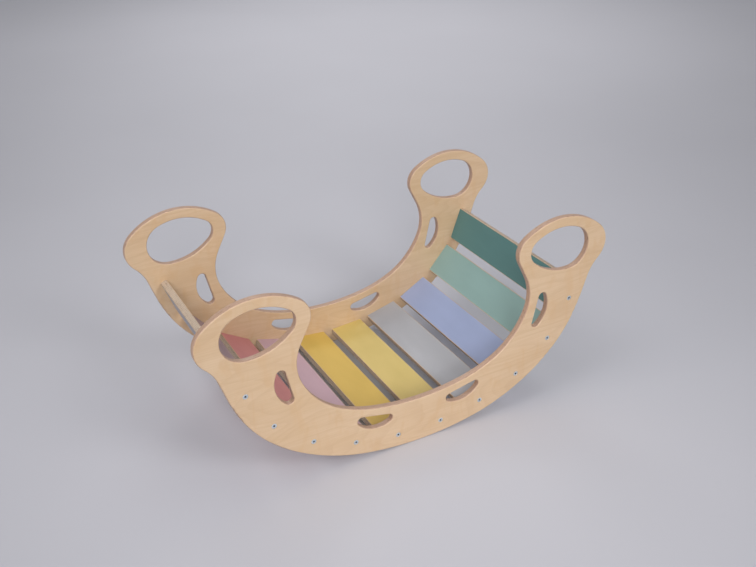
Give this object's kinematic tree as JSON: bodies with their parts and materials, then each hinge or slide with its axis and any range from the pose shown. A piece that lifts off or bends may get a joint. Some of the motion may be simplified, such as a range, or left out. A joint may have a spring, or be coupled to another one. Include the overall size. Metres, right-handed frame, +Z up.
{
  "type": "rocking seesaw",
  "caption": "Child's rocking seesaw and climbing arch: curved plywood side panels with handle rings and hand-holes, joined by flat painted slats along the rocking curve.",
  "frame": {"origin": "on the floor under the middle, where the rocking curve touches it, half-way between the side panels", "axes": "+X along the seesaw's length towards the teal slat, +Y from the front side panel to the back one, +Z up"},
  "size_m": [0.9372, 0.467, 0.4447],
  "materials": {
    "birch_plywood": "satin clear-lacquered birch plywood, ply layers on its rounded edges",
    "paint_lilac": "matt lilac paint on both faces, bare plywood edges",
    "paint_plum": "matt plum paint on both faces, bare plywood edges",
    "paint_red": "matt red paint on both faces, bare plywood edges",
    "paint_pink": "matt pink paint on both faces, bare plywood edges",
    "paint_amber": "matt amber paint on both faces, bare plywood edges",
    "paint_yellow": "matt yellow paint on both faces, bare plywood edges",
    "paint_grey": "matt grey paint on both faces, bare plywood edges",
    "paint_blue": "matt blue paint on both faces, bare plywood edges",
    "paint_mint": "matt mint paint on both faces, bare plywood edges",
    "paint_teal": "matt teal paint on both faces, bare plywood edges",
    "zinc_steel": "bright zinc plating",
    "beech": "plain turned beech"
  },
  "bodies": {
    "root": {"side_panel_front": "birch_plywood", "side_panel_back": "birch_plywood", "slat_01_lilac": "paint_lilac", "bolts_01": "zinc_steel", "barrel_nuts_01": "zinc_steel", "dowels_01": "beech", "slat_02_plum": "paint_plum", "bolts_02": "zinc_steel", "barrel_nuts_02": "zinc_steel", "dowels_02": "beech", "slat_03_red": "paint_red", "bolts_03": "zinc_steel", "barrel_nuts_03": "zinc_steel", "dowels_03": "beech", "slat_04_pink": "paint_pink", "bolts_04": "zinc_steel", "barrel_nuts_04": "zinc_steel", "dowels_04": "beech", "slat_05_amber": "paint_amber", "bolts_05": "zinc_steel", "barrel_nuts_05": "zinc_steel", "dowels_05": "beech", "slat_06_yellow": "paint_yellow", "bolts_06": "zinc_steel", "barrel_nuts_06": "zinc_steel", "dowels_06": "beech", "slat_07_grey": "paint_grey", "bolts_07": "zinc_steel", "barrel_nuts_07": "zinc_steel", "dowels_07": "beech", "slat_08_blue": "paint_blue", "bolts_08": "zinc_steel", "barrel_nuts_08": "zinc_steel", "dowels_08": "beech", "slat_09_mint": "paint_mint", "bolts_09": "zinc_steel", "barrel_nuts_09": "zinc_steel", "dowels_09": "beech", "slat_10_teal": "paint_teal", "bolts_10": "zinc_steel", "barrel_nuts_10": "zinc_steel", "dowels_10": "beech"}
  },
  "joints": []
}
